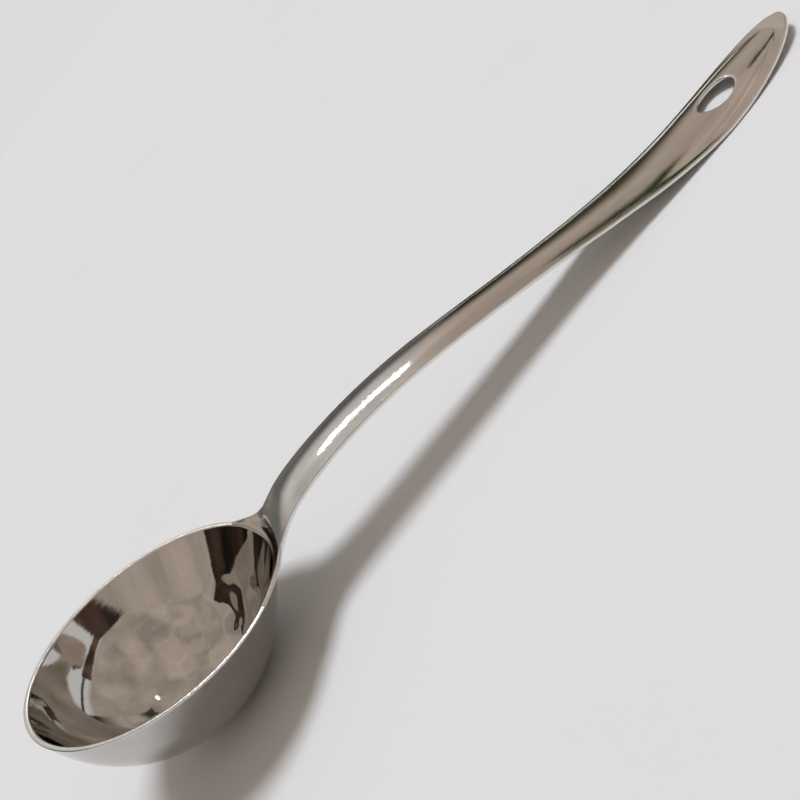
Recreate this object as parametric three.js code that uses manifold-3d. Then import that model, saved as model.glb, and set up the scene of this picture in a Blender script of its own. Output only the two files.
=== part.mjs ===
import * as THREE from "three";
import { mergeVertices } from "three/addons/utils/BufferGeometryUtils.js";
import Module from "manifold-3d";

// Millimetres. The shapes are drawn with the rim flat at z = 0 and the handle towards +x,
// then the whole ladle is tilted to lie on a table as it does when put down.

const bowlSheet = 1.6;
const handleSheet = 1.25;
const rimRadius = 43;
const bowlDepth = 35.4;
const rimRound = 0.35;
const flareAtHandle = 4.2;
const flareAtFront = 0.3;
const seamGap = 0.3;

const shoulderAngle = 38;
const edgeRound = 0.3;

// Stations along the edge of the handle, each measured out from the rim and up from the rim plane.
// half is half the width there, and rise is how far the pressed spine stands above the two edges.
const shoulder = { out: -1.9, up: 3.0, half: 17.4, rise: 0 };
const neckFoot = { out: 1.9, up: 5.6, half: 13.6, rise: 0.1 };
const neck = { out: 10.2, up: 11.6, half: 11.5, rise: 0.7 };
const crown = { out: 28.0, up: 18.8, half: 10.3, rise: 1.4 };
const fall = { out: 56.0, up: 25.3, half: 9.7, rise: 1.8 };
const waist = { out: 103.0, up: 29.6, half: 9.1, rise: 2.0 };
const swell = { out: 133.0, up: 31.8, half: 11.2, rise: 2.2 };
const palm = { out: 153.0, up: 34.1, half: 13.5, rise: 2.4 };
const leaf = { out: 172.0, up: 38.3, half: 15.0, rise: 2.5 };
const leafTurn = { out: 190.0, up: 45.4 };
const tip = { out: 207.1, up: 54.3 };
const stations = [shoulder, neckFoot, neck, crown, fall, waist, swell, palm, leaf];

const tipHalfWidth = 0.9;
const hangHoleRadius = 6.3;
const hangHoleFromTip = 29.8;

// The spine stops short of the outline: a narrow flange along the sides, a wider lip round the tip.
const flange = 1.9;
const lipAtTip = 5.5;
const lipGrowth = 3.6;

const bowlSteps = 80;
const arcSteps = 16;
const wallSteps = 2;
const stepsAlong = 58;
const leafSteps = 16;
const stepsAcross = 22;

const degree = Math.PI / 180;

function steel(colour, roughness) {
  return new THREE.MeshStandardMaterial({ color: colour, roughness, metalness: 1 });
}

// Bowl: one pressed sheet with a plain cut rim. The bottom is part of a ball and the wall runs straight
// from the ball to the rim. The rim stands out past the ball, most on the handle's side.
const ballBack = (flareAtHandle - flareAtFront) / 2;
const ballWaist = rimRadius - (flareAtHandle + flareAtFront) / 2;
const ball = (ballWaist ** 2 + bowlDepth ** 2) / (2 * bowlDepth);
const ballUp = ball - bowlDepth;

// One skin of the bowl, cut upright through the ball's centre: x out from the centre, y up from the rim plane.
function skinLine(round, edge, turn, easeOut) {
  const reach = ballBack * Math.cos(turn) + Math.sqrt(edge ** 2 - (ballBack * Math.sin(turn)) ** 2);
  const leave = Math.acos(ballUp / Math.hypot(reach, ballUp)) - Math.acos(round / Math.hypot(reach, ballUp));
  const line = [];
  for (let i = 0; i <= arcSteps; i += 1) {
    const swing = (leave * i) / arcSteps;
    line.push(new THREE.Vector2(round * Math.sin(swing), ballUp - round * Math.cos(swing)));
  }
  const foot = line[arcSteps];
  const brow = new THREE.Vector2(reach, 0);
  const eased = 1 + rimRound / foot.y;
  for (let i = 1; i <= wallSteps; i += 1) {
    line.push(foot.clone().lerp(brow, (eased * i) / wallSteps));
  }
  line.push(new THREE.Vector2(reach + easeOut * rimRound * 0.29, -rimRound * 0.29));
  line.push(new THREE.Vector2(reach + easeOut * rimRound, 0));
  return line;
}

function bowlGeometry() {
  const positions = [-ballBack, 0, ballUp - ball, -ballBack, 0, ballUp - ball + bowlSheet];
  const sides = [];
  for (let k = 0; k < bowlSteps; k += 1) {
    const turn = (2 * Math.PI * k) / bowlSteps;
    const outer = skinLine(ball, rimRadius, turn, -1);
    const inner = skinLine(ball - bowlSheet, rimRadius - bowlSheet, turn, 1);
    const side = [0];
    for (const p of [...outer.slice(1), ...inner.slice(1).reverse()]) {
      side.push(positions.length / 3);
      positions.push(p.x * Math.cos(turn) - ballBack, p.x * Math.sin(turn), p.y);
    }
    side.push(1);
    sides.push(side);
  }
  const index = [];
  for (let k = 0; k < bowlSteps; k += 1) {
    const here = sides[k];
    const next = sides[(k + 1) % bowlSteps];
    const last = here.length - 2;
    for (let i = 0; i <= last; i += 1) {
      if (i > 0) {
        index.push(here[i], next[i], next[i + 1]);
      }
      if (i < last) {
        index.push(here[i], next[i + 1], here[i + 1]);
      }
    }
  }
  const geometry = new THREE.BufferGeometry();
  geometry.setAttribute("position", new THREE.Float32BufferAttribute(positions, 3));
  geometry.setIndex(index);
  return geometry;
}

// The handle's root follows the rim between the two shoulders.
const innerRimRadius = rimRadius - bowlSheet;
const rootHalf = innerRimRadius * Math.sin(shoulderAngle * degree);
const rootOut = innerRimRadius * Math.cos(shoulderAngle * degree);
const leafLength = Math.hypot(tip.out - leaf.out, tip.up - leaf.up);

// The line of the handle seen from the side, from the shoulders over the crown to the tip.
const sideLine = new THREE.CatmullRomCurve3([
  new THREE.Vector3(rootOut, 0, seamGap),
  ...[...stations, leafTurn, tip].map((s) => new THREE.Vector3(rimRadius + s.out, 0, s.up)),
], false, "centripetal");

// Half width and spine height, station by station.
const sections = new THREE.SplineCurve([
  new THREE.Vector2(rootHalf, 0),
  ...stations.map((s) => new THREE.Vector2(s.half, s.rise)),
]);

// Rows across the handle: evenly between the stations, then along the half ellipse of the leaf.
function handleRows() {
  const spans = stations.length + 2;
  const leafStart = stations.length / spans;
  const rows = [];
  for (let i = 0; i <= stepsAlong; i += 1) {
    const share = i / stepsAlong;
    const station = share * stations.length;
    const section = sections.getPoint(share);
    rows.push({
      point: sideLine.getPoint(share * leafStart),
      tangent: sideLine.getTangent(share * leafStart),
      half: section.x,
      rise: section.y,
      border: flange,
      rimBend: 0.5 + 0.5 * Math.cos(Math.PI * Math.min(station / 3, 1)),
    });
  }
  const marks = sideLine.getLengths(600);
  const whole = marks[marks.length - 1];
  const before = marks[Math.round(leafStart * 600)];
  const lastTurn = Math.acos(tipHalfWidth / leaf.half);
  for (let i = 1; i <= leafSteps; i += 1) {
    const turn = (lastTurn * i) / leafSteps;
    const along = Math.sin(turn);
    const at = Math.min((before + along * (whole - before)) / whole, 1);
    const spineLeft = Math.max(1 - (along * leafLength) / (leafLength - lipAtTip), 0);
    rows.push({
      point: sideLine.getPointAt(at),
      tangent: sideLine.getTangentAt(at),
      half: leaf.half * Math.cos(turn),
      rise: leaf.rise * Math.sin((Math.PI / 2) * Math.min(spineLeft * 1.8, 1)),
      border: flange + lipGrowth * (1 - Math.sqrt(spineLeft)),
      rimBend: 0,
    });
  }
  return rows;
}

// The cross-section is a raised rounded spine between two flat borders.
// Close to the rim it bends back into the round of the bowl.
function topPoint(row, across) {
  const y = row.half * across;
  const up = new THREE.Vector3(-row.tangent.z, 0, row.tangent.x);
  const spineHalf = Math.max(row.half - row.border, 0.1);
  const reach = Math.min(Math.abs(y) / spineHalf, 1);
  const bend = Math.sqrt(innerRimRadius ** 2 - y ** 2) - Math.sqrt(innerRimRadius ** 2 - row.half ** 2);
  const point = row.point.clone();
  point.x += row.rimBend * bend;
  point.y = y;
  point.addScaledVector(up, row.rise * Math.cos((Math.PI / 2) * reach) ** 2);
  return point;
}

function handleGeometry() {
  const rows = handleRows();
  const top = [];
  const bottom = [];
  const count = stepsAcross;
  for (const row of rows) {
    const line = [];
    for (let j = 0; j <= count; j += 1) {
      line.push(topPoint(row, -1 + (2 * j) / count));
    }
    top.push(line);
  }
  for (let i = 0; i < rows.length; i += 1) {
    const line = [];
    for (let j = 0; j <= count; j += 1) {
      const here = top[i][j];
      const ahead = top[Math.min(i + 1, rows.length - 1)][j];
      const behind = top[Math.max(i - 1, 0)][j];
      const left = top[i][Math.max(j - 1, 0)];
      const right = top[i][Math.min(j + 1, count)];
      const along = ahead.clone().sub(behind);
      const over = right.clone().sub(left);
      const down = over.cross(along).normalize();
      const outward = new THREE.Vector3(here.x, here.y, 0).normalize();
      const share = Math.max(0, 1 - i / 6);
      down.lerp(outward, share).normalize();
      if (i === 0) {
        down.copy(outward);
      }
      line.push(here.clone().addScaledVector(down, handleSheet));
    }
    bottom.push(line);
  }
  const positions = [];
  const index = [];
  const ring = [];
  for (let i = 0; i < rows.length; i += 1) {
    const points = [];
    for (let j = 0; j <= count; j += 1) {
      points.push(top[i][j]);
    }
    points.push(roundedEdge(top[i][count], bottom[i][count], 1));
    for (let j = count; j >= 0; j -= 1) {
      points.push(bottom[i][j]);
    }
    points.push(roundedEdge(top[i][0], bottom[i][0], -1));
    const ids = [];
    for (const p of points) {
      ids.push(positions.length / 3);
      positions.push(p.x, p.y, p.z);
    }
    ring.push(ids);
  }
  const size = ring[0].length;
  for (let i = 0; i + 1 < ring.length; i += 1) {
    for (let j = 0; j < size; j += 1) {
      const a = ring[i][j];
      const b = ring[i][(j + 1) % size];
      const c = ring[i + 1][(j + 1) % size];
      const d = ring[i + 1][j];
      index.push(a, d, b, b, d, c);
    }
  }
  closeEnd(ring[0], index, count, false);
  closeEnd(ring[ring.length - 1], index, count, true);
  const geometry = new THREE.BufferGeometry();
  geometry.setAttribute("position", new THREE.Float32BufferAttribute(positions, 3));
  geometry.setIndex(index);
  return geometry;
}

// The cut edge is eased by a middle point pushed out past the two faces.
function roundedEdge(upper, lower, side) {
  const middle = upper.clone().add(lower).multiplyScalar(0.5);
  middle.y += side * edgeRound;
  return middle;
}

function closeEnd(ids, index, count, far) {
  const size = ids.length;
  for (let j = 0; j < count; j += 1) {
    const a = ids[j];
    const b = ids[j + 1];
    const c = ids[2 * count + 1 - j];
    const d = ids[2 * count + 2 - j];
    if (far) {
      index.push(a, d, b, b, d, c);
    } else {
      index.push(a, b, d, b, c, d);
    }
  }
  const right = [ids[count], ids[count + 1], ids[count + 2]];
  const left = [ids[2 * count + 2], ids[size - 1], ids[0]];
  for (const [a, b, c] of [right, left]) {
    if (far) {
      index.push(a, c, b);
    } else {
      index.push(a, b, c);
    }
  }
}

const wasm = await Module();
wasm.setup();

function toManifold(geometry) {
  const bare = geometry.clone();
  bare.deleteAttribute("normal");
  bare.deleteAttribute("uv");
  const merged = mergeVertices(bare, 1e-5);
  return new wasm.Manifold(new wasm.Mesh({
    numProp: 3,
    vertProperties: new Float32Array(merged.attributes.position.array),
    triVerts: new Uint32Array(merged.index.array),
  }));
}

function fromManifold(solid) {
  const mesh = solid.getMesh();
  const geometry = new THREE.BufferGeometry();
  geometry.setAttribute("position", new THREE.Float32BufferAttribute(mesh.vertProperties, 3));
  geometry.setIndex(new THREE.Uint32BufferAttribute(mesh.triVerts, 1));
  return geometry;
}

// The hanging hole goes square through the raised leaf.
function pierceHandle(geometry) {
  const share = 1 - hangHoleFromTip / sideLine.getLength();
  const centre = sideLine.getPointAt(share);
  const tangent = sideLine.getTangentAt(share);
  const up = new THREE.Vector3(-tangent.z, 0, tangent.x);
  const drill = new THREE.CylinderGeometry(hangHoleRadius, hangHoleRadius, hangHoleRadius * 4, 48);
  drill.applyQuaternion(new THREE.Quaternion().setFromUnitVectors(new THREE.Vector3(0, 1, 0), up));
  drill.translate(centre.x, centre.y, centre.z);
  return fromManifold(toManifold(geometry).subtract(toManifold(drill)));
}

const bowlShape = bowlGeometry();
const handleShape = pierceHandle(handleGeometry());

// Put down on a table the ladle leans on its bowl and on the two edges near the hole.
// The tilt is found by turning it until both are equally low.
function lowest(shape, tilt) {
  const points = shape.attributes.position;
  let low = Infinity;
  for (let i = 0; i < points.count; i += 1) {
    low = Math.min(low, points.getZ(i) * Math.cos(tilt) - points.getX(i) * Math.sin(tilt));
  }
  return low;
}

let flatter = 5 * degree;
let steeper = 40 * degree;
for (let i = 0; i < 30; i += 1) {
  const trial = (flatter + steeper) / 2;
  if (lowest(handleShape, trial) > lowest(bowlShape, trial)) {
    flatter = trial;
  } else {
    steeper = trial;
  }
}
const tilt = new THREE.Matrix4().makeRotationY(flatter);

// The origin goes on the table under the middle of the whole ladle.
const box = new THREE.Box3();
for (const shape of [bowlShape, handleShape]) {
  shape.applyMatrix4(tilt);
  shape.computeBoundingBox();
  box.union(shape.boundingBox);
}
const middle = box.getCenter(new THREE.Vector3());
for (const shape of [bowlShape, handleShape]) {
  shape.translate(-middle.x, -middle.y, -box.min.z);
  shape.computeVertexNormals();
}

const ladle = new THREE.Group();
ladle.name = "ladle";
const bowl = new THREE.Mesh(bowlShape, steel(0xb9b6b0, 0.22));
bowl.name = "bowl";
const handle = new THREE.Mesh(handleShape, steel(0xc2c0bb, 0.14));
handle.name = "handle";
ladle.add(bowl, handle);

export default ladle;
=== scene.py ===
import math
import bpy
import bmesh
from mathutils import Matrix, Vector, noise


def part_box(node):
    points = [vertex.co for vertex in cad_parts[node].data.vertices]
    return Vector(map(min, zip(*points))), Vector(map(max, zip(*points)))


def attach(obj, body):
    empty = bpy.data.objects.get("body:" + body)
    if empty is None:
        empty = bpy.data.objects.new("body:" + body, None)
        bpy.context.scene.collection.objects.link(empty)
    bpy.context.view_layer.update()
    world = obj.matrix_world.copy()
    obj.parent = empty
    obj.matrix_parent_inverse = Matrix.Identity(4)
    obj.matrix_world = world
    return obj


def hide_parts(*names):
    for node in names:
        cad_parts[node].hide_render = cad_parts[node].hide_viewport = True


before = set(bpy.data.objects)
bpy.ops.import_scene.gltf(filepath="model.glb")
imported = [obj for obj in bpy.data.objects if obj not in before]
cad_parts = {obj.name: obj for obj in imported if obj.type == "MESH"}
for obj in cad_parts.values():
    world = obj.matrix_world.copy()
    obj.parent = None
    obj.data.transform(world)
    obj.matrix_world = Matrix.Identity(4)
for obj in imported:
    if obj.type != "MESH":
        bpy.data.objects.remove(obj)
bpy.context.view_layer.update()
print("frame loaded")

# The ladle is shaped in millimetres with its rim flat at z = 0, then laid on the table.
ladleLay = {
    "restTilt": 18.9954,    # degrees between the rim and the table
    "rimRadius": 43.0,
    "bowlDepth": 35.4,
    "flareAtHandle": 4.2,   # how far the rim stands out past the round bottom
    "flareAtFront": 0.3,
    "bowlSheet": 1.6,
    "handleSheet": 1.25,
}
ballBack = (ladleLay["flareAtHandle"] - ladleLay["flareAtFront"]) / 2
ballWaist = ladleLay["rimRadius"] - (ladleLay["flareAtHandle"] + ladleLay["flareAtFront"]) / 2
ballRadius = (ballWaist ** 2 + ladleLay["bowlDepth"] ** 2) / (2 * ladleLay["bowlDepth"])
ballUp = ballRadius - ladleLay["bowlDepth"]     # ball centre above the rim plane
ballCentre = Vector((-ballBack, 0, ballUp))
innerRim = ladleLay["rimRadius"] - ladleLay["bowlSheet"]
restTilt = math.radians(ladleLay["restTilt"])

# the lowest and the foremost point of the bowl both lie on its ball
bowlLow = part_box("bowl")[0]
ballPlace = Vector((bowlLow.x * 1000 + ballRadius, 0, bowlLow.z * 1000 + ballRadius))
tiltOver = Matrix.Rotation(restTilt, 4, "Y")
layDown = Matrix.Scale(0.001, 4) @ Matrix.Translation(ballPlace - tiltOver @ ballCentre) @ tiltOver


def finishPiece(bm, name, node, materials):
    bmesh.ops.transform(bm, matrix=layDown, verts=bm.verts)
    mesh = bpy.data.meshes.new(name)
    bm.to_mesh(mesh)
    bm.free()
    for face in mesh.polygons:
        face.use_smooth = True
    for material in materials:
        mesh.materials.append(material)
    piece = bpy.data.objects.new(name, mesh)
    bpy.context.scene.collection.objects.link(piece)
    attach(piece, "root")
    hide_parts(node)
    print(name, "made,", len(mesh.polygons), "faces")


def newGroup(name, inputs, outputs):
    group = bpy.data.node_groups.new(name, "ShaderNodeTree")
    for label, kind, value in inputs:
        socket = group.interface.new_socket(label, in_out="INPUT", socket_type=kind)
        if value is not None:
            socket.default_value = value
    for label, kind in outputs:
        group.interface.new_socket(label, in_out="OUTPUT", socket_type=kind)
    ins = group.nodes.new("NodeGroupInput")
    outs = group.nodes.new("NodeGroupOutput")
    return group, ins, outs


def mathNode(tree, operation, first, second):
    node = tree.nodes.new("ShaderNodeMath")
    node.operation = operation
    for index, value in enumerate((first, second)):
        if isinstance(value, (int, float)):
            node.inputs[index].default_value = value
        else:
            tree.links.new(value, node.inputs[index])
    return node.outputs[0]


# how the shared polish effects are spread over the steel
polishLook = {
    "lineDetail": 3.0,
    "smearDetail": 5.0,
    "smearRoughness": 0.6,
    "smearFrom": 0.3,
    "smearTo": 0.72,
    "tintFrom": 0.3,
    "tintTo": 0.7,
    "lineHeight": 0.0002,   # metres
}


# fine rubbing marks left by the polishing wheel, drawn out along one direction
def hairlineGroup():
    group, ins, outs = newGroup(
        "hairlines",
        [("Place", "NodeSocketVector", None), ("Across", "NodeSocketFloat", 2500.0),
         ("Depth", "NodeSocketFloat", 0.2)],
        [("Height", "NodeSocketFloat")],
    )
    fine = group.nodes.new("ShaderNodeTexNoise")
    fine.inputs["Detail"].default_value = polishLook["lineDetail"]
    group.links.new(ins.outputs["Place"], fine.inputs["Vector"])
    group.links.new(ins.outputs["Across"], fine.inputs["Scale"])
    height = mathNode(group, "MULTIPLY", fine.outputs["Fac"], ins.outputs["Depth"])
    group.links.new(height, outs.inputs["Height"])
    return group


# dull smears and cleaner spots that break up an even polish
def smearGroup():
    group, ins, outs = newGroup(
        "smears",
        [("Place", "NodeSocketVector", None), ("Scale", "NodeSocketFloat", 60.0),
         ("Cleanest", "NodeSocketFloat", 0.06), ("Dullest", "NodeSocketFloat", 0.16)],
        [("Roughness", "NodeSocketFloat"), ("Mask", "NodeSocketFloat")],
    )
    cloud = group.nodes.new("ShaderNodeTexNoise")
    cloud.inputs["Detail"].default_value = polishLook["smearDetail"]
    cloud.inputs["Roughness"].default_value = polishLook["smearRoughness"]
    group.links.new(ins.outputs["Place"], cloud.inputs["Vector"])
    group.links.new(ins.outputs["Scale"], cloud.inputs["Scale"])
    spread = group.nodes.new("ShaderNodeMapRange")
    spread.inputs["From Min"].default_value = polishLook["smearFrom"]
    spread.inputs["From Max"].default_value = polishLook["smearTo"]
    group.links.new(cloud.outputs["Fac"], spread.inputs["Value"])
    group.links.new(ins.outputs["Cleanest"], spread.inputs["To Min"])
    group.links.new(ins.outputs["Dullest"], spread.inputs["To Max"])
    group.links.new(spread.outputs["Result"], outs.inputs["Roughness"])
    group.links.new(cloud.outputs["Fac"], outs.inputs["Mask"])
    return group


hairlines = hairlineGroup()
smears = smearGroup()


def steelFinish(name, look):
    material = bpy.data.materials.new(name)
    material.use_nodes = True
    tree = material.node_tree
    shader = tree.nodes["Principled BSDF"]
    shader.inputs["Metallic"].default_value = 1.0
    place = tree.nodes.new("ShaderNodeTexCoord")
    turn = tree.nodes.new("ShaderNodeMapping")
    turn.inputs["Scale"].default_value = look["grain"]
    tree.links.new(place.outputs["Object"], turn.inputs["Vector"])

    smear = tree.nodes.new("ShaderNodeGroup")
    smear.node_tree = smears
    smear.inputs["Scale"].default_value = look["smearScale"]
    smear.inputs["Cleanest"].default_value = look["cleanest"]
    smear.inputs["Dullest"].default_value = look["dullest"]
    tree.links.new(place.outputs["Object"], smear.inputs["Place"])
    tree.links.new(smear.outputs["Roughness"], shader.inputs["Roughness"])

    tint = tree.nodes.new("ShaderNodeValToRGB")
    tint.color_ramp.elements[0].position = polishLook["tintFrom"]
    tint.color_ramp.elements[0].color = look["deep"]
    tint.color_ramp.elements[1].position = polishLook["tintTo"]
    tint.color_ramp.elements[1].color = look["bright"]
    tree.links.new(smear.outputs["Mask"], tint.inputs["Fac"])
    tree.links.new(tint.outputs["Color"], shader.inputs["Base Color"])

    lines = tree.nodes.new("ShaderNodeGroup")
    lines.node_tree = hairlines
    lines.inputs["Across"].default_value = look["lineScale"]
    lines.inputs["Depth"].default_value = look["lineDepth"]
    tree.links.new(turn.outputs["Vector"], lines.inputs["Place"])
    bump = tree.nodes.new("ShaderNodeBump")
    bump.inputs["Strength"].default_value = look["bump"]
    bump.inputs["Distance"].default_value = polishLook["lineHeight"]
    tree.links.new(lines.outputs["Height"], bump.inputs["Height"])
    tree.links.new(bump.outputs["Normal"], shader.inputs["Normal"])
    return material


mirrorInside = steelFinish("mirrorInside", {
    "grain": (1.0, 1.0, 1.0), "lineScale": 900.0, "lineDepth": 0.3, "bump": 0.12,
    "smearScale": 55.0, "cleanest": 0.03, "dullest": 0.08,
    "deep": (0.53, 0.51, 0.485, 1.0), "bright": (0.60, 0.58, 0.555, 1.0),
})
# the outside is the same steel as the inside: its overall darker tone is painted shade for the shaded
# outside of the bowl, while the smear tint within it is the steel's own uneven tone
satinOutsideWithPaintedShade = steelFinish("satinOutsideWithPaintedShade", {
    "grain": (1.0, 1.0, 5.0), "lineScale": 1400.0, "lineDepth": 1.0, "bump": 0.12,
    "smearScale": 40.0, "cleanest": 0.09, "dullest": 0.15,
    "deep": (0.49, 0.475, 0.455, 1.0), "bright": (0.57, 0.555, 0.535, 1.0),
})
# the cut rim is the same steel as the bowl: its much brighter tone is painted highlight for the white line
# along the rim
cutRimWithPaintedHighlight = steelFinish("cutRimWithPaintedHighlight", {
    "grain": (1.0, 1.0, 1.0), "lineScale": 1800.0, "lineDepth": 1.0, "bump": 0.35,
    "smearScale": 160.0, "cleanest": 0.14, "dullest": 0.24,
    "deep": (0.70, 0.69, 0.67, 1.0), "bright": (0.80, 0.79, 0.77, 1.0),
})
polishedHandle = steelFinish("polishedHandle", {
    "grain": (0.08, 1.0, 1.0), "lineScale": 2600.0, "lineDepth": 0.6, "bump": 0.14,
    "smearScale": 70.0, "cleanest": 0.035, "dullest": 0.09,
    "deep": (0.65, 0.62, 0.585, 1.0), "bright": (0.74, 0.705, 0.665, 1.0),
})
# the eased cut edges are the same steel as the handle: their brighter tone is painted highlight for the thin
# light lines along the edges
cutEdgeWithPaintedHighlight = steelFinish("cutEdgeWithPaintedHighlight", {
    "grain": (1.0, 1.0, 1.0), "lineScale": 2200.0, "lineDepth": 1.0, "bump": 0.3,
    "smearScale": 200.0, "cleanest": 0.10, "dullest": 0.2,
    "deep": (0.72, 0.71, 0.69, 1.0), "bright": (0.82, 0.81, 0.79, 1.0),
})
print("finishes made")

# The handle starts as a flat blank with its hole and is then pressed along the side line.
handleShape = {
    "shoulderAngle": 38.0,
    # out from the rim, up from the rim plane, half width, share of the full pressing of the spine,
    # and how far the spine stands up on top of that
    "stations": [
        (-1.9, 3.0, 17.4, 0.06, 0.0),
        (1.9, 5.6, 13.6, 0.3, 0.0),
        (10.2, 11.6, 11.5, 0.72, 0.0),
        (28.0, 18.8, 10.3, 1.0, 0.0),
        (56.0, 25.3, 9.7, 1.0, 0.0),
        (103.0, 29.6, 9.1, 1.0, 0.0),
        (133.0, 31.8, 11.2, 1.0, 0.0),
        (153.0, 34.1, 13.5, 1.0, 0.1),
        (172.0, 38.3, 15.0, 1.0, 0.84),
    ],
    "leafTurn": (190.0, 45.4),
    "tip": (207.1, 54.3),
    "tipHalfWidth": 0.9,
    "holeRadius": 6.3,
    "holeFromTip": 29.8,
    "flange": 1.9,
    "flangeColumns": 5,
    "flangeSlope": 0.165,   # fall of the two flanges towards the cut edge
    "spineSlope": 0.205,    # fall of the spine where it meets the flanges
    "footPower": 6,         # how steeply the raised spine comes down at its foot
    "lipAtTip": 5.5,
    "lipGrowth": 3.6,
    "rowsPerSpan": 26,
    "leafRows": 72,
    "columns": 48,
    "edgeEase": 0.36,
    "holeMargin": 3.0,
    "holeRoll": 0.9,        # how far from the hole its edge starts to turn down
    "holeRollDepth": 0.22,
    "marginCuts": 7,        # rings of faces between the blank and the roll, and in the roll
    "rollCuts": 1,
    "rootUp": 0.04,         # the root starts this far above the rim plane
    "rimBendSpans": 3,      # spans over which the root's bend round the rim dies out
    "rootSpans": 0.93,      # spans over which the sheet stands like the bowl's wall
    "spineEnd": 1.8,        # how bluntly the spine ends before the tip
    "leastSpine": 0.1,
    "leastSpineShare": 0.1,
    "easedAbove": 0.1,      # cut edges below this height, at the root, stay square
    "lineMarks": 3000,      # steps for measuring along the side line
    "tangentStep": 0.0004,
    "leafEndGap": 0.0001,
    "blankEndGap": 0.001,
}

# The bowl is pressed from one sheet: a round bottom and a wall that runs straight up to the cut rim.
bowlShape = {
    "arcSteps": 52,
    "wallSteps": 18,
    "turnSteps": 224,
    "skinInset": 0.02,
    "rimEase": 0.42,
    "dimpleSize": 5.0,
    "dimpleDepth": 0.27,
    "dimpleFrom": -24.0,    # the press marks grow stronger from here towards the handle
    "dimpleFull": 4.0,
    "dimpleLeast": 0.12,
    "dimpleTop": -9.0,      # the wall above this is smooth
    "dimpleFade": 8.0,
    "rippleSize": 2.6,
    "rippleDepth": 0.004,
    "weldDistance": 0.001,
}


def skinPoint(roundness, edge, turn, step):
    arcSteps, wallSteps = bowlShape["arcSteps"], bowlShape["wallSteps"]
    reach = ballBack * math.cos(turn) + math.sqrt(edge ** 2 - (ballBack * math.sin(turn)) ** 2)
    span = math.hypot(reach, ballUp)
    leave = math.acos(ballUp / span) - math.acos(roundness / span)
    swing = leave * min(step / arcSteps, 1)
    out, up = roundness * math.sin(swing), ballUp - roundness * math.cos(swing)
    if step > arcSteps:
        share = (step - arcSteps) / wallSteps
        out, up = out + (reach - out) * share, up * (1 - share)
    return Vector((out * math.cos(turn) - ballBack, out * math.sin(turn), up))


# shallow press marks that show in the mirror of the inside
def dimpled(point):
    inward = (ballCentre - point).normalized()
    share = (point.x - bowlShape["dimpleFrom"]) / (bowlShape["dimpleFull"] - bowlShape["dimpleFrom"])
    strength = bowlShape["dimpleLeast"] + (1 - bowlShape["dimpleLeast"]) * min(max(share, 0), 1)
    wave = noise.noise(point / bowlShape["dimpleSize"]) * bowlShape["dimpleDepth"] * strength
    wave += noise.noise(point / bowlShape["rippleSize"]) * bowlShape["rippleDepth"]
    fade = min(max((bowlShape["dimpleTop"] - point.z) / bowlShape["dimpleFade"], 0), 1)
    return point - inward * wave * fade


def makeBowl():
    skinSteps = bowlShape["arcSteps"] + bowlShape["wallSteps"]
    lastRow = 2 * skinSteps + 1
    bm = bmesh.new()
    bmesh.ops.create_grid(bm, x_segments=lastRow, y_segments=bowlShape["turnSteps"], size=1.0)
    for face in bm.faces:
        row = (face.calc_center_median().x + 1) / 2 * lastRow
        face.material_index = 1 if row < skinSteps else 2 if row < skinSteps + 1 else 0
    inset = bowlShape["skinInset"]
    turnSteps = bowlShape["turnSteps"]
    for vert in bm.verts:
        row = round((vert.co.x + 1) / 2 * lastRow)
        column = round((vert.co.y + 1) / 2 * turnSteps)
        turn = math.pi * (1 + column / turnSteps * 2)
        if row <= skinSteps:
            vert.co = skinPoint(ballRadius - inset, ladleLay["rimRadius"] - inset, turn, row)
        else:
            vert.co = dimpled(skinPoint(ballRadius - ladleLay["bowlSheet"], innerRim, turn, lastRow - row))
    bmesh.ops.remove_doubles(bm, verts=bm.verts, dist=bowlShape["weldDistance"])
    bmesh.ops.recalc_face_normals(bm, faces=bm.faces)

    # the root of the handle is dressed flush, so the rim is left square under it, with the inside's polish
    rootTurn = math.radians(handleShape["shoulderAngle"])
    rimEdges = []
    for edge in bm.edges:
        middle = (edge.verts[0].co + edge.verts[1].co) / 2
        underRoot = abs(math.atan2(middle.y, middle.x)) < rootTurn
        if len({face.material_index for face in edge.link_faces}) == 2 and not underRoot:
            rimEdges.append(edge)
    for face in bm.faces:
        middle = face.calc_center_median()
        if face.material_index == 2 and abs(math.atan2(middle.y, middle.x)) < rootTurn:
            face.material_index = 0
    bmesh.ops.bevel(
        bm, geom=rimEdges, offset=bowlShape["rimEase"], offset_type="OFFSET", affect="EDGES",
        segments=4, profile=0.5, material=2,
    )
    finishPiece(bm, "bowlCup", "bowl", [mirrorInside, satinOutsideWithPaintedShade, cutRimWithPaintedHighlight])


makeBowl()


# a smooth curve through the points of the side line
def catmullRom(points, share):
    spans = len(points) - 1
    index = min(int(share * spans), spans - 1)
    weight = share * spans - index
    p1, p2 = points[index], points[index + 1]
    p0 = points[index - 1] if index > 0 else p1 * 2 - p2
    p3 = points[index + 2] if index + 2 <= spans else p2 * 2 - p1
    d0, d1, d2 = ((b - a).length ** 0.5 for a, b in ((p0, p1), (p1, p2), (p2, p3)))
    m1 = ((p1 - p0) / d0 - (p2 - p0) / (d0 + d1) + (p2 - p1) / d1) * d1
    m2 = ((p2 - p1) / d1 - (p3 - p1) / (d1 + d2) + (p3 - p2) / d2) * d1
    w2, w3 = weight ** 2, weight ** 3
    return (
        p1 * (2 * w3 - 3 * w2 + 1) + m1 * (w3 - 2 * w2 + weight)
        + p2 * (3 * w2 - 2 * w3) + m2 * (w3 - w2)
    )


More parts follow.
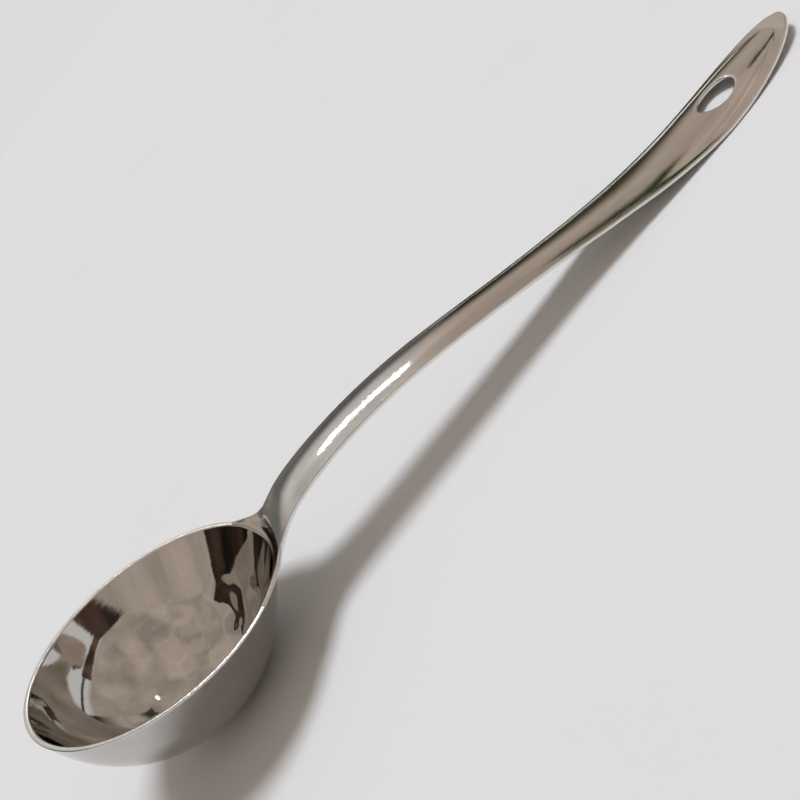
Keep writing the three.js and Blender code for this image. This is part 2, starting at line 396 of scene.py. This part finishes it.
# the same for plain numbers, evenly spaced
def plainSpline(values, share):
    spans = len(values) - 1
    index = min(int(share * spans), spans - 1)
    weight = share * spans - index
    v0 = values[max(index - 1, 0)]
    v1, v2 = values[index], values[index + 1]
    v3 = values[min(index + 2, spans)]
    m1, m2 = (v2 - v0) / 2, (v3 - v1) / 2
    w2, w3 = weight ** 2, weight ** 3
    return v1 * (2 * w3 - 3 * w2 + 1) + m1 * (w3 - 2 * w2 + weight) + v2 * (3 * w2 - 2 * w3) + m2 * (w3 - w2)


# Rows along the handle, each with its place on the side line and its section.
def handleRows():
    shape = handleShape
    stations = shape["stations"]
    rim = ladleLay["rimRadius"]
    rootHalf = innerRim * math.sin(math.radians(shape["shoulderAngle"]))
    rootOut = innerRim * math.cos(math.radians(shape["shoulderAngle"]))
    line = [Vector((rootOut, 0, shape["rootUp"]))]
    for out, up in [s[:2] for s in stations] + [shape["leafTurn"], shape["tip"]]:
        line.append(Vector((rim + out, 0, up)))
    halves = [rootHalf] + [s[2] for s in stations]
    presses = [0.0] + [s[3] for s in stations]
    raises = [0.0] + [s[4] for s in stations]
    spans = len(stations) + 2
    leafStart = len(stations) / spans

    count = shape["lineMarks"]
    marks = [catmullRom(line, i / count) for i in range(count + 1)]
    lengths = [0.0]
    for a, b in zip(marks, marks[1:]):
        lengths.append(lengths[-1] + (b - a).length)

    def lengthAt(share):
        low = min(int(share * count), count - 1)
        return lengths[low] + (lengths[low + 1] - lengths[low]) * (share * count - low)

    def shareAt(length):
        low, high = 0, count
        while high - low > 1:
            half = (low + high) // 2
            if lengths[half] <= length:
                low = half
            else:
                high = half
        return (low + (length - lengths[low]) / (lengths[high] - lengths[low])) / count

    def row(share, half, press, raised, border, rimBend, rootShare):
        ahead = catmullRom(line, min(share + shape["tangentStep"], 1))
        behind = catmullRom(line, max(share - shape["tangentStep"], 0))
        return {
            "along": lengthAt(share), "point": catmullRom(line, share),
            "tangent": (ahead - behind).normalized(),
            "half": half, "press": press, "raised": raised, "border": border,
            "rimBend": rimBend, "rootShare": rootShare,
        }

    rows = []
    rowCount = shape["rowsPerSpan"] * len(stations)
    for i in range(rowCount + 1):
        share = i / rowCount
        station = share * len(stations)
        rows.append(row(
            share * leafStart, plainSpline(halves, share), plainSpline(presses, share),
            plainSpline(raises, share), shape["flange"],
            0.5 + 0.5 * math.cos(math.pi * min(station / shape["rimBendSpans"], 1)),
            max(0.0, 1 - station / shape["rootSpans"]),
        ))
    before, whole = lengthAt(leafStart), lengths[-1]
    leafOut, leafUp, leafHalf, leafPress, leafRaised = stations[-1]
    leafLength = math.hypot(shape["tip"][0] - leafOut, shape["tip"][1] - leafUp)
    lastTurn = math.acos(shape["tipHalfWidth"] / leafHalf)
    for i in range(1, shape["leafRows"] + 1):
        turn = lastTurn * i / shape["leafRows"]
        along = math.sin(turn)
        spineLeft = max(1 - along * leafLength / (leafLength - shape["lipAtTip"]), 0)
        fading = math.sin(math.pi / 2 * min(spineLeft * shape["spineEnd"], 1))
        rows.append(row(
            shareAt(min(before + along * (whole - before), whole - shape["leafEndGap"])),
            leafHalf * math.cos(turn),
            leafPress * fading, leafRaised * fading,
            shape["flange"] + shape["lipGrowth"] * (1 - math.sqrt(spineLeft)), 0.0, 0.0,
        ))
    return rows, whole


def rowAt(rows, along):
    low, high = 0, len(rows) - 1
    while high - low > 1:
        half = (low + high) // 2
        if rows[half]["along"] <= along:
            low = half
        else:
            high = half
    a, b = rows[low], rows[high]
    weight = (along - a["along"]) / (b["along"] - a["along"])
    mixed = {key: a[key] + (b[key] - a[key]) * weight for key in a}
    mixed["tangent"].normalize()
    return mixed


def pressed(rows, along, y, holeAt):
    row = rowAt(rows, along)
    up = Vector((-row["tangent"].z, 0, row["tangent"].x))
    spineHalf = max(row["half"] - row["border"], handleShape["leastSpine"])
    reach = min(abs(y) / spineHalf, 1)
    bend = math.sqrt(innerRim ** 2 - y ** 2) - math.sqrt(innerRim ** 2 - row["half"] ** 2)
    point = row["point"] + Vector((row["rimBend"] * bend, y, 0))
    crown = handleShape["spineSlope"] * spineHalf / 2 * (1 - reach ** 2)
    side = handleShape["flangeSlope"] * max(min(row["half"] - abs(y), row["border"]), 0)
    lift = row["press"] * (crown + side) + row["raised"] * (1 - reach ** handleShape["footPower"])
    fromHole = math.hypot(along - holeAt, y) - handleShape["holeRadius"]
    if fromHole < handleShape["holeRoll"]:
        lift -= handleShape["holeRollDepth"] * (1 - max(fromHole, 0) / handleShape["holeRoll"]) ** 2
    return point + up * lift, row["rootShare"]


def makeHandle():
    shape = handleShape
    rows, whole = handleRows()
    holeAt = whole - shape["holeFromTip"]
    last = len(rows) - 1
    bm = bmesh.new()
    bmesh.ops.create_grid(bm, x_segments=last, y_segments=shape["columns"], size=1.0)

    # the hanging hole is punched in the blank, with rings of faces round it
    holeCentre = Vector((holeAt, 0, 0))
    keepOff = shape["holeRadius"] + shape["holeMargin"]
    creaseShare = 1 - 2 * shape["flangeColumns"] / shape["columns"]
    holeRow = rowAt(rows, holeAt)
    keepShare = keepOff / (holeRow["half"] - holeRow["border"]) * creaseShare
    punched = set()
    for face in bm.faces:
        middle = face.calc_center_median()
        along = rows[int((middle.x + 1) / 2 * last)]["along"]
        if abs(along - holeAt) < keepOff and abs(middle.y) < keepShare:
            punched.add(face)
    edgeLoop = [e for e in bm.edges if sum(face in punched for face in e.link_faces) == 1]

    # the flat blank: length along x, width across y, with one column on the crease of each flange
    for vert in bm.verts:
        row = rows[round((vert.co.x + 1) / 2 * last)]
        spineHalf = max(row["half"] - row["border"], row["half"] * shape["leastSpineShare"])
        share = abs(vert.co.y)
        if share <= creaseShare:
            across = spineHalf * share / creaseShare
        else:
            across = spineHalf + (row["half"] - spineHalf) * (share - creaseShare) / (1 - creaseShare)
        vert.co = Vector((row["along"], math.copysign(across, vert.co.y), 0))
    bmesh.ops.delete(bm, geom=list(punched), context="FACES")
    rollStart = shape["holeRadius"] + shape["holeRoll"]
    for radius, cuts in ((rollStart, shape["marginCuts"]), (shape["holeRadius"], shape["rollCuts"])):
        drawnIn = bmesh.ops.extrude_edge_only(bm, edges=edgeLoop)
        ringVerts = {v for v in drawnIn["geom"] if isinstance(v, bmesh.types.BMVert)}
        for vert in ringVerts:
            vert.co = holeCentre + (vert.co - holeCentre).normalized() * radius
        spokes = {e for v in ringVerts for e in v.link_edges if e.other_vert(v) not in ringVerts}
        edgeLoop = [e for v in ringVerts for e in v.link_edges if e.other_vert(v) in ringVerts]
        edgeLoop = list(dict.fromkeys(edgeLoop))
        bmesh.ops.subdivide_edges(bm, edges=list(spokes), cuts=cuts, use_grid_fill=True)
    bmesh.ops.recalc_face_normals(bm, faces=bm.faces)
    if sum(face.normal.z for face in bm.faces) < 0:
        bmesh.ops.reverse_faces(bm, faces=bm.faces)

    # pressing: every point of the blank goes to its place on the formed sheet
    bm.verts.index_update()
    rootShares = {}
    for vert in bm.verts:
        along = min(max(vert.co.x, 0), whole - shape["blankEndGap"])
        vert.co, rootShares[vert.index] = pressed(rows, along, vert.co.y, holeAt)
    bm.normal_update()

    # the sheet gets its thickness downwards; at the root it stands on the rim like the bowl's wall
    drops = []
    for vert in bm.verts:
        outward = Vector((vert.co.x, vert.co.y, 0)).normalized()
        share = rootShares[vert.index]
        down = (-vert.normal).lerp(outward, share).normalized()
        thickness = ladleLay["handleSheet"] + (ladleLay["bowlSheet"] - ladleLay["handleSheet"]) * share
        drops.append(vert.co + down * thickness)
    topVerts = bm.verts[:]
    topFaces = bm.faces[:]
    copied = bmesh.ops.duplicate(bm, geom=topFaces + topVerts)
    lowerOf = copied["vert_map"]
    borders = [e for e in bm.edges if e.is_boundary]
    topSet = set(topVerts)
    topBorders = [e for e in borders if e.verts[0] in topSet]
    for vert, target in zip(topVerts, drops):
        lowerOf[vert].co = target
    lowerFaces = [f for f in copied["geom"] if isinstance(f, bmesh.types.BMFace)]
    bmesh.ops.reverse_faces(bm, faces=lowerFaces)
    cutFaces = []
    for edge in topBorders:
        a, b = edge.verts
        cutFaces.append(bm.faces.new((a, b, lowerOf[b], lowerOf[a])))
    bmesh.ops.recalc_face_normals(bm, faces=bm.faces)
    for face in cutFaces:
        face.material_index = 1

    easedEdges = []
    for edge in bm.edges:
        kinds = {face.material_index for face in edge.link_faces}
        aboveRoot = max(v.co.z for v in edge.verts) > shape["easedAbove"]
        if kinds == {0, 1} and aboveRoot:
            easedEdges.append(edge)
    bmesh.ops.bevel(
        bm, geom=easedEdges, offset=shape["edgeEase"], offset_type="OFFSET", affect="EDGES",
        segments=3, profile=0.5, material=1,
    )
    finishPiece(bm, "handleStrip", "handle", [polishedHandle, cutEdgeWithPaintedHighlight])


makeHandle()

tableLook = {
    "halfSize": 6.0,
    "white": (0.80, 0.80, 0.80, 1.0),
    "shade": (0.77, 0.77, 0.77, 1.0),
    "cloudScale": 9.0,
    "roughness": 0.8,
}


def makeTable():
    bm = bmesh.new()
    bmesh.ops.create_grid(bm, x_segments=8, y_segments=8, size=tableLook["halfSize"])
    mesh = bpy.data.meshes.new("table")
    bm.to_mesh(mesh)
    bm.free()
    material = bpy.data.materials.new("whiteTable")
    material.use_nodes = True
    tree = material.node_tree
    shader = tree.nodes["Principled BSDF"]
    shader.inputs["Roughness"].default_value = tableLook["roughness"]
    shader.inputs["Specular IOR Level"].default_value = 0.0
    place = tree.nodes.new("ShaderNodeTexCoord")
    cloud = tree.nodes.new("ShaderNodeTexNoise")
    cloud.inputs["Scale"].default_value = tableLook["cloudScale"]
    ramp = tree.nodes.new("ShaderNodeValToRGB")
    ramp.color_ramp.elements[0].color = tableLook["shade"]
    ramp.color_ramp.elements[1].color = tableLook["white"]
    tree.links.new(place.outputs["Object"], cloud.inputs["Vector"])
    tree.links.new(cloud.outputs["Fac"], ramp.inputs["Fac"])
    tree.links.new(ramp.outputs["Color"], shader.inputs["Base Color"])
    mesh.materials.append(material)
    table = bpy.data.objects.new("table", mesh)
    bpy.context.scene.collection.objects.link(table)


makeTable()

roomLook = {
    "horizon": (0.72, 0.72, 0.72, 1.0),
    "low": (0.45, 0.385, 0.33, 1.0),
    "middle": (0.51, 0.43, 0.37, 1.0),
    "ceiling": (0.54, 0.455, 0.39, 1.0),
    "paleSide": (0.66, 0.65, 0.63, 1.0),
    "paleTowards": (-0.12, 0.80, 0.60),
    "horizonTo": 0.055,     # heights on the sky, from 0 at the horizon to 1 overhead
    "lowAt": 0.12,
    "middleAt": 0.5,
    "ceilingAt": 0.9,
    "riseFrom": 0.07,
    "riseTo": 0.2,
    "paleFrom": 0.90,       # cosines of the angle off the pale side
    "paleTo": 0.985,
    "mottle": 0.36,
    "mottleLift": 0.6,      # the bright patches rise by this share of the mottle
    "mottleScale": 2.6,
    "mottleDetail": 3.0,
    "mottleFrom": 0.3,
    "mottleTo": 0.7,
    "fill": 0.76,           # share of the room's light that reaches dull surfaces
    "sunPower": 2.06,
    "sunColour": (0.88, 0.935, 1.0),
    "sunWidth": 23.0,       # degrees, the size of the overhead diffuser
    "sunFrom": (0.10, 0.16, 1.0),
}

# small lamps that only the polish shows: the streak on the neck and the glint in the bowl
lampLook = {
    "streakLamp": {"at": (-0.003, 0.479, 0.406), "length": 0.24, "width": 0.020, "power": 0.22},
    "glintLamp": {"at": (0.026, 0.112, 0.232), "length": 0.024, "width": 0.010, "power": 0.006},
}
lampTowards = (-0.05, 0.0, 0.02)


def makeRoom():
    world = bpy.data.worlds.new("room")
    bpy.context.scene.world = world
    world.use_nodes = True
    tree = world.node_tree
    back = tree.nodes["Background"]
    place = tree.nodes.new("ShaderNodeTexCoord")
    split = tree.nodes.new("ShaderNodeSeparateXYZ")
    ramp = tree.nodes.new("ShaderNodeValToRGB")
    ramp.color_ramp.elements[0].position = roomLook["horizonTo"]
    ramp.color_ramp.elements[0].color = roomLook["horizon"]
    ramp.color_ramp.elements[1].position = roomLook["ceilingAt"]
    ramp.color_ramp.elements[1].color = roomLook["ceiling"]
    for colour in ("low", "middle"):
        step = ramp.color_ramp.elements.new(roomLook[colour + "At"])
        step.color = roomLook[colour]
    tree.links.new(place.outputs["Generated"], split.inputs["Vector"])
    tree.links.new(split.outputs["Z"], ramp.inputs["Fac"])

    # the room starts above the pale horizon
    rise = tree.nodes.new("ShaderNodeMapRange")
    rise.inputs["From Min"].default_value = roomLook["riseFrom"]
    rise.inputs["From Max"].default_value = roomLook["riseTo"]
    tree.links.new(split.outputs["Z"], rise.inputs["Value"])

    # one side of the room is paler
    facing = tree.nodes.new("ShaderNodeVectorMath")
    facing.operation = "DOT_PRODUCT"
    facing.inputs[1].default_value = Vector(roomLook["paleTowards"]).normalized()
    tree.links.new(place.outputs["Generated"], facing.inputs[0])
    spread = tree.nodes.new("ShaderNodeMapRange")
    spread.interpolation_type = "SMOOTHSTEP"
    spread.inputs["From Min"].default_value = roomLook["paleFrom"]
    spread.inputs["From Max"].default_value = roomLook["paleTo"]
    tree.links.new(facing.outputs["Value"], spread.inputs["Value"])
    pale = tree.nodes.new("ShaderNodeMix")
    pale.data_type = "RGBA"
    paleShare = mathNode(tree, "MULTIPLY", spread.outputs["Result"], rise.outputs["Result"])
    tree.links.new(paleShare, pale.inputs["Factor"])
    tree.links.new(ramp.outputs["Color"], pale.inputs["A"])
    pale.inputs["B"].default_value = roomLook["paleSide"]

    # uneven ceiling, which the dimples of the bowl pick up
    cloud = tree.nodes.new("ShaderNodeTexNoise")
    cloud.inputs["Scale"].default_value = roomLook["mottleScale"]
    cloud.inputs["Detail"].default_value = roomLook["mottleDetail"]
    tree.links.new(place.outputs["Generated"], cloud.inputs["Vector"])
    level = tree.nodes.new("ShaderNodeMapRange")
    level.inputs["From Min"].default_value = roomLook["mottleFrom"]
    level.inputs["From Max"].default_value = roomLook["mottleTo"]
    level.inputs["To Min"].default_value = 1 - roomLook["mottle"]
    level.inputs["To Max"].default_value = 1 + roomLook["mottle"] * roomLook["mottleLift"]
    tree.links.new(cloud.outputs["Fac"], level.inputs["Value"])
    shade = tree.nodes.new("ShaderNodeMix")
    shade.data_type = "RGBA"
    shade.blend_type = "MULTIPLY"
    tree.links.new(rise.outputs["Result"], shade.inputs["Factor"])
    tree.links.new(pale.outputs["Result"], shade.inputs["A"])
    tree.links.new(level.outputs["Result"], shade.inputs["B"])
    tree.links.new(shade.outputs["Result"], back.inputs["Color"])

    # the polish and the camera see the whole room, dull surfaces get less of it
    path = tree.nodes.new("ShaderNodeLightPath")
    seen = mathNode(tree, "ADD", path.outputs["Is Camera Ray"], path.outputs["Is Glossy Ray"])
    seen = mathNode(tree, "ADD", seen, path.outputs["Is Transmission Ray"])
    share = tree.nodes.new("ShaderNodeMapRange")
    share.inputs["To Min"].default_value = roomLook["fill"]
    tree.links.new(seen, share.inputs["Value"])
    tree.links.new(share.outputs["Result"], back.inputs["Strength"])

    diffuser = bpy.data.lights.new("overheadDiffuser", "SUN")
    diffuser.energy = roomLook["sunPower"]
    diffuser.color = roomLook["sunColour"]
    diffuser.angle = math.radians(roomLook["sunWidth"])
    overhead = bpy.data.objects.new("overheadDiffuser", diffuser)
    overhead.rotation_euler = Vector(roomLook["sunFrom"]).to_track_quat("Z", "Y").to_euler()
    overhead.visible_glossy = False
    bpy.context.scene.collection.objects.link(overhead)

    for name, look in lampLook.items():
        bulb = bpy.data.lights.new(name, "AREA")
        bulb.shape = "RECTANGLE"
        bulb.size = look["length"]
        bulb.size_y = look["width"]
        bulb.energy = look["power"]
        lamp = bpy.data.objects.new(name, bulb)
        lamp.location = look["at"]
        aim = Vector(look["at"]) - Vector(lampTowards)
        lamp.rotation_euler = aim.to_track_quat("Z", "Y").to_euler()
        lamp.visible_camera = False
        lamp.visible_diffuse = False
        bpy.context.scene.collection.objects.link(lamp)


makeRoom()

# Cards round the table, seen only in the polish: how far off, degrees round from +x, lowest and highest
# degrees up at both ends, and the angles between which a card fades to another colour.
cardLook = {
    "skirting": {"off": 1.4, "round": (-180.0, 180.0), "low": 0.8, "high": (2.6, 2.6), "fade": None,
                 "deep": (0.012, 0.010, 0.008, 1.0), "bright": (0.055, 0.036, 0.026, 1.0)},
    "greenCard": {"off": 1.35, "round": (40.0, 79.0), "low": 0.05, "high": (24.0, 24.0), "fade": (7.0, 23.0),
                  "fadeTo": (0.48, 0.41, 0.35, 1.0),
                  "deep": (0.014, 0.020, 0.010, 1.0), "bright": (0.045, 0.046, 0.022, 1.0)},
    "leafCard": {"off": 1.3, "round": (44.0, 55.3), "low": 26.0, "high": (41.0, 41.0), "fade": (31.0, 37.0),
                 "fadeTo": (0.030, 0.046, 0.018, 1.0),
                 "deep": (0.48, 0.41, 0.35, 1.0), "bright": (0.52, 0.44, 0.38, 1.0)},
    "greyCard": {"off": 1.3, "round": (79.0, 132.0), "low": 3.0, "high": (26.0, 22.0), "fade": (13.0, 26.0),
                 "fadeTo": (0.60, 0.59, 0.57, 1.0),
                 "deep": (0.11, 0.107, 0.10, 1.0), "bright": (0.20, 0.195, 0.18, 1.0)},
    "darkCard": {"off": 1.3, "round": (146.0, 194.0), "low": 20.0, "high": (47.0, 47.0), "fade": None,
                 "deep": (0.010, 0.009, 0.008, 1.0), "bright": (0.060, 0.038, 0.026, 1.0)},
    "lowDarkCard": {"off": 1.28, "round": (160.0, 194.0), "low": 3.0, "high": (20.5, 20.5), "fade": None,
                    "deep": (0.012, 0.010, 0.009, 1.0), "bright": (0.070, 0.045, 0.032, 1.0)},
    "nearCard": {"off": 1.25, "round": (-104.0, -36.0), "low": 0.1, "high": (26.0, 6.0), "fade": None,
                 "deep": (0.030, 0.022, 0.017, 1.0), "bright": (0.090, 0.055, 0.040, 1.0)},
    "sideCard": {"off": 1.25, "round": (-37.0, 2.0), "low": 0.1, "high": (6.0, 8.0), "fade": None,
                 "deep": (0.035, 0.024, 0.018, 1.0), "bright": (0.13, 0.080, 0.055, 1.0)},
}

# the uneven colour of the cards and how finely they are bent
cardMake = {
    "cloudScale": 3.4,
    "deepAt": 0.45,
    "brightAt": 0.66,
    "leastSteps": 8,
    "stepsPerRadian": 15,
}


def cardFinish(name, look):
    material = bpy.data.materials.new(name)
    material.use_nodes = True
    tree = material.node_tree
    tree.nodes.remove(tree.nodes["Principled BSDF"])
    glow = tree.nodes.new("ShaderNodeEmission")
    place = tree.nodes.new("ShaderNodeTexCoord")
    cloud = tree.nodes.new("ShaderNodeTexNoise")
    cloud.inputs["Scale"].default_value = cardMake["cloudScale"] / look["off"]
    ramp = tree.nodes.new("ShaderNodeValToRGB")
    ramp.color_ramp.elements[0].position = cardMake["deepAt"]
    ramp.color_ramp.elements[0].color = look["deep"]
    ramp.color_ramp.elements[1].position = cardMake["brightAt"]
    ramp.color_ramp.elements[1].color = look["bright"]
    tree.links.new(place.outputs["Object"], cloud.inputs["Vector"])
    tree.links.new(cloud.outputs["Fac"], ramp.inputs["Fac"])
    colour = ramp.outputs["Color"]
    if look["fade"]:
        split = tree.nodes.new("ShaderNodeSeparateXYZ")
        tree.links.new(place.outputs["Object"], split.inputs["Vector"])
        fade = tree.nodes.new("ShaderNodeMapRange")
        fade.interpolation_type = "SMOOTHSTEP"
        for socket, angle in zip(("From Min", "From Max"), look["fade"]):
            fade.inputs[socket].default_value = look["off"] * math.tan(math.radians(angle))
        tree.links.new(split.outputs["Z"], fade.inputs["Value"])
        blend = tree.nodes.new("ShaderNodeMix")
        blend.data_type = "RGBA"
        tree.links.new(fade.outputs["Result"], blend.inputs["Factor"])
        tree.links.new(colour, blend.inputs["A"])
        blend.inputs["B"].default_value = look["fadeTo"]
        colour = blend.outputs["Result"]
    tree.links.new(colour, glow.inputs["Color"])
    tree.links.new(glow.outputs["Emission"], tree.nodes["Material Output"].inputs["Surface"])
    return material


def makeCards():
    for name, look in cardLook.items():
        start, stop = (math.radians(angle) for angle in look["round"])
        low, highStart, highStop = (
            look["off"] * math.tan(math.radians(angle)) for angle in (look["low"], *look["high"])
        )
        steps = max(cardMake["leastSteps"], round((stop - start) * cardMake["stepsPerRadian"]))
        bm = bmesh.new()
        foot = bm.verts.new((look["off"] * math.cos(start), look["off"] * math.sin(start), low))
        bmesh.ops.spin(
            bm, geom=[foot], cent=(0, 0, 0), axis=(0, 0, 1), dvec=(0, 0, 0),
            angle=stop - start, steps=steps, use_merge=False,
        )
        raised = bmesh.ops.extrude_edge_only(bm, edges=bm.edges[:])
        for vert in [v for v in raised["geom"] if isinstance(v, bmesh.types.BMVert)]:
            share = (math.atan2(vert.co.y, vert.co.x) - start) % (2 * math.pi) / (stop - start)
            vert.co.z = highStart + (highStop - highStart) * min(share, 1)
        mesh = bpy.data.meshes.new(name)
        bm.to_mesh(mesh)
        bm.free()
        mesh.materials.append(cardFinish(name, look))
        card = bpy.data.objects.new(name, mesh)
        bpy.context.scene.collection.objects.link(card)
        card.visible_camera = False
        card.visible_diffuse = False
        card.visible_shadow = False


makeCards()

cameraPlace = {
    # in the rim's own frame, in millimetres
    "eye": (69.883, -262.535, 144.965),
    "right": (0.83214, -0.30993, -0.45987),
    "down": (-0.54698, -0.32203, -0.77273),
    "lens": 45.0,
    "sensor": 36.0,
    "clipStart": 0.01,
}


def makeCamera():
    data = bpy.data.cameras.new("camera")
    data.lens = cameraPlace["lens"]
    data.sensor_width = cameraPlace["sensor"]
    data.clip_start = cameraPlace["clipStart"]
    camera = bpy.data.objects.new("camera", data)
    turn = Matrix.Rotation(restTilt, 3, "Y")
    right = turn @ Vector(cameraPlace["right"])
    up = -(turn @ Vector(cameraPlace["down"]))
    back = right.cross(up)
    facing = Matrix((right, up, back)).transposed()
    camera.matrix_world = Matrix.Translation(layDown @ Vector(cameraPlace["eye"])) @ facing.to_4x4()
    bpy.context.scene.collection.objects.link(camera)
    bpy.context.scene.camera = camera


makeCamera()
bpy.context.scene.view_settings.view_transform = "Standard"
print("table, room and camera placed")
